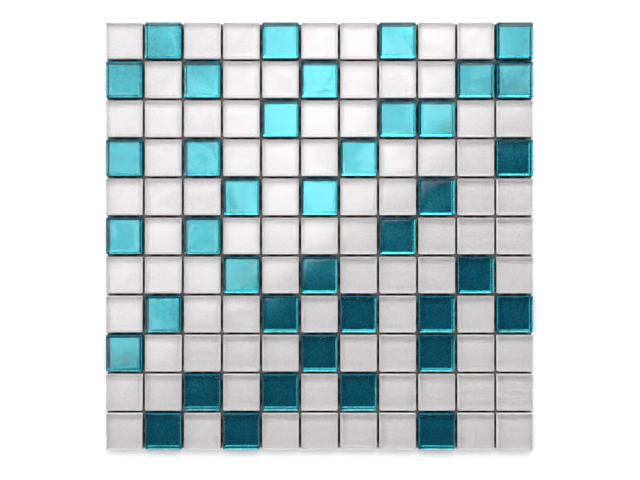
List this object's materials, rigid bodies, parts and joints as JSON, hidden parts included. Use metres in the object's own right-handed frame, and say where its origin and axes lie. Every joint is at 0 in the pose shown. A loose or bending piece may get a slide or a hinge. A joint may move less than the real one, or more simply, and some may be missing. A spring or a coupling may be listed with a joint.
{
  "type": "mosaic tile sheet",
  "caption": "Square sheet of thick square glass chips in white and turquoise, set with narrow joints on a backing net.",
  "frame": {"origin": "floor point under the middle of the sheet, at the underside of the backing net", "axes": "+Z out of the finished face, +X along the rows of chips, +Y from row 11 to row 1"},
  "size_m": [0.2954, 0.2954, 0.0086],
  "materials": {
    "pearl_white_glass": "fire-polished glass over a pearl-white back coat",
    "turquoise_flake_glass": "fire-polished glass over a metallic turquoise flake back coat",
    "glass_fibre_net": "resin-coated glass-fibre threads with dried glue"
  },
  "bodies": {
    "root": {"row_01_white_chips": "pearl_white_glass", "row_01_turquoise_chips": "turquoise_flake_glass", "row_02_white_chips": "pearl_white_glass", "row_02_turquoise_chips": "turquoise_flake_glass", "row_03_white_chips": "pearl_white_glass", "row_03_turquoise_chips": "turquoise_flake_glass", "row_04_white_chips": "pearl_white_glass", "row_04_turquoise_chips": "turquoise_flake_glass", "row_05_white_chips": "pearl_white_glass", "row_05_turquoise_chips": "turquoise_flake_glass", "row_06_white_chips": "pearl_white_glass", "row_06_turquoise_chips": "turquoise_flake_glass", "row_07_white_chips": "pearl_white_glass", "row_07_turquoise_chips": "turquoise_flake_glass", "row_08_white_chips": "pearl_white_glass", "row_08_turquoise_chips": "turquoise_flake_glass", "row_09_white_chips": "pearl_white_glass", "row_09_turquoise_chips": "turquoise_flake_glass", "row_10_white_chips": "pearl_white_glass", "row_10_turquoise_chips": "turquoise_flake_glass", "row_11_white_chips": "pearl_white_glass", "row_11_turquoise_chips": "turquoise_flake_glass", "net_warp_threads": "glass_fibre_net", "net_weft_threads": "glass_fibre_net"}
  },
  "joints": []
}
